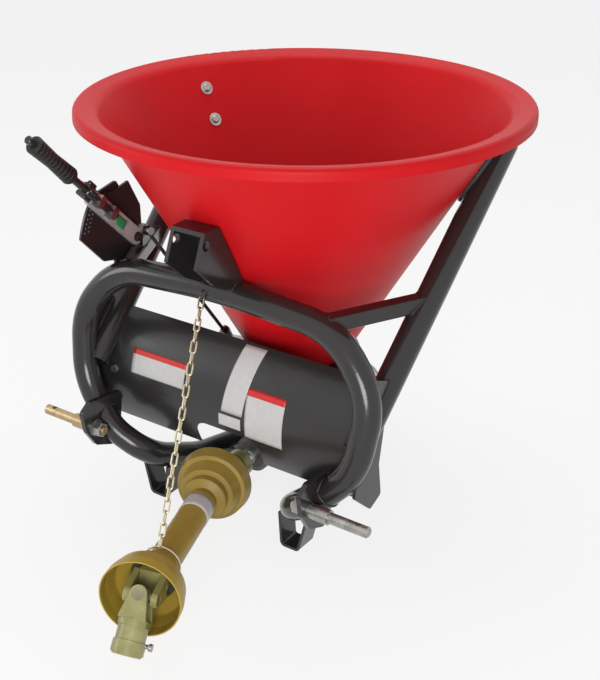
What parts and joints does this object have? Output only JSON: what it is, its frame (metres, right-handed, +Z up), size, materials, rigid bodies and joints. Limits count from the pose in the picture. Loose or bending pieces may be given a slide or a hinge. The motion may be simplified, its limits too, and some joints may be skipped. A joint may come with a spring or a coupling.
{
  "type": "fertilizer spreader",
  "caption": "Tractor-mounted broadcast spreader: cone hopper on a bent tube frame, shut-off gate with lever, gear-driven spinner disc and guarded drive shaft on a chain",
  "frame": {"origin": "floor level, under the middle of the box around the whole machine", "axes": "+X across the machine to the right, -Y towards the tractor, +Z up"},
  "size_m": [0.8879, 1.2584, 0.827],
  "materials": {
    "red_poly": "moulded red polyethylene, soft sheen",
    "black_paint": "semi-gloss black powder coat",
    "zinc": "bright zinc plate",
    "yellow_guard": "yellow moulded polyethylene",
    "yellow_zinc": "yellow paint over cast steel",
    "rubber_grip": "ribbed black rubber",
    "grey_bar": "dull silver grey paint",
    "chain_steel": "yellow zinc plate",
    "bare_steel": "machined steel",
    "casting": "black painted casting",
    "nylon": "white nylon"
  },
  "bodies": {
    "frame": {"base_loop": "black_paint", "bearings": "bare_steel", "braces": "black_paint", "chain_eye": "chain_steel", "cross_bar": "black_paint", "feet": "black_paint", "floor_plate": "black_paint", "frame_bolts": "zinc", "front_hoop": "black_paint", "gate_rails": "black_paint", "gearbox_cover": "casting", "gearbox_housing": "casting", "gearbox_mount": "black_paint", "gussets": "black_paint", "hopper": "red_poly", "hopper_bolts": "zinc", "hopper_brackets": "black_paint", "lever_bracket": "black_paint", "lower_pin_left": "zinc", "lower_pin_right": "zinc", "lug_plates": "black_paint", "pin_nuts": "zinc", "pivot_bolt": "zinc", "quadrant": "black_paint", "rear_yoke": "yellow_zinc", "shaft_seals": "rubber_grip", "shield": "black_paint", "shield_brackets": "black_paint", "side_tube_left": "black_paint", "side_tube_right": "black_paint", "top_clevis": "black_paint"},
    "spinner": {"output_shaft": "bare_steel", "crown_gear": "bare_steel", "spinner_disc": "zinc", "spinner_fins": "zinc", "spinner_bolts": "zinc", "agitator": "bare_steel"},
    "input": {"input_shaft": "bare_steel", "pinion_gear": "bare_steel"},
    "driveline": {"rear_cross": "bare_steel", "inner_yoke_rear": "yellow_zinc", "inner_bar": "bare_steel", "rear_guard": "yellow_guard", "guard_ring_rear": "nylon", "chain": "chain_steel", "chain_clip": "chain_steel"},
    "driveline_front": {"outer_sleeve": "bare_steel", "inner_yoke_front": "yellow_zinc", "front_guard": "yellow_guard", "guard_ring_front": "nylon"},
    "front_spider": {"front_cross": "bare_steel"},
    "tractor_yoke": {"front_yoke": "yellow_zinc"},
    "push_pin": {"lock_pin": "zinc"},
    "lever": {"lever_bar": "grey_bar", "lever_rod": "black_paint", "grip": "rubber_grip", "rod_clamp": "zinc"},
    "knob": {"lock_knob": "rubber_grip"},
    "gate_plate": {"gate": "zinc"},
    "link": {"link_rod": "zinc"}
  },
  "joints": [
    {"name": "spinner_spin", "type": "hinge", "parent": "frame", "child": "spinner", "pos_m": [0, 0.1852, 0.112], "axis": [0, 0, 1], "continuous": true},
    {"name": "input_spin", "type": "hinge", "parent": "frame", "child": "input", "pos_m": [0, 0.1852, 0.112], "axis": [0, 1, 0], "continuous": true},
    {"name": "driveline_swing", "type": "hinge", "parent": "frame", "child": "driveline", "pos_m": [0, -0.1148, 0.112], "axis": [-0.0599, 0, 0.9982], "range_deg": [-34, 9]},
    {"name": "driveline_slide", "type": "slide", "parent": "driveline", "child": "driveline_front", "axis": [0.357, -0.93, 0.0872], "range_m": [0, 0.12]},
    {"name": "front_fold", "type": "hinge", "parent": "driveline_front", "child": "front_spider", "pos_m": [0.16244, -0.53796, 0.15166], "axis": [0.9327, 0.3499, -0.0868], "range_deg": [-100, 0]},
    {"name": "front_tilt", "type": "hinge", "parent": "front_spider", "child": "tractor_yoke", "pos_m": [0.16244, -0.53796, 0.15166], "axis": [0.3058, -0.6403, 0.7047], "range_deg": [-12, 12]},
    {"name": "push_pin_slide", "type": "slide", "parent": "tractor_yoke", "child": "push_pin", "axis": [0.9327, 0.3499, -0.0868], "range_m": [-0.004, 0], "stiffness_N_per_m": 1500},
    {"name": "lever_turn", "type": "hinge", "parent": "frame", "child": "lever", "pos_m": [-0.272, -0.0048, 0.546], "axis": [1, 0, 0], "range_deg": [0, 22]},
    {"name": "knob_turn", "type": "hinge", "parent": "lever", "child": "knob", "pos_m": [-0.2695, -0.0048, 0.546], "axis": [0, -0.7254, 0.6884], "range_deg": [-180, 180]},
    {"name": "gate_slide", "type": "slide", "parent": "frame", "child": "gate_plate", "axis": [-1, 0, 0], "range_m": [0, 0.039]},
    {"name": "link_swing", "type": "hinge", "parent": "gate_plate", "child": "link", "pos_m": [-0.178, 0.1552, 0.2987], "axis": [0, 0.8821, 0.4711], "range_deg": [0, 7.63]}
  ],
  "couplings": [
    {"joint": "input_spin", "follows": "spinner_spin", "ratio": 1},
    {"joint": "gate_slide", "follows": "lever_turn", "m_per_rad": 0.10095},
    {"joint": "link_swing", "follows": "lever_turn", "ratio": 0.3435}
  ]
}
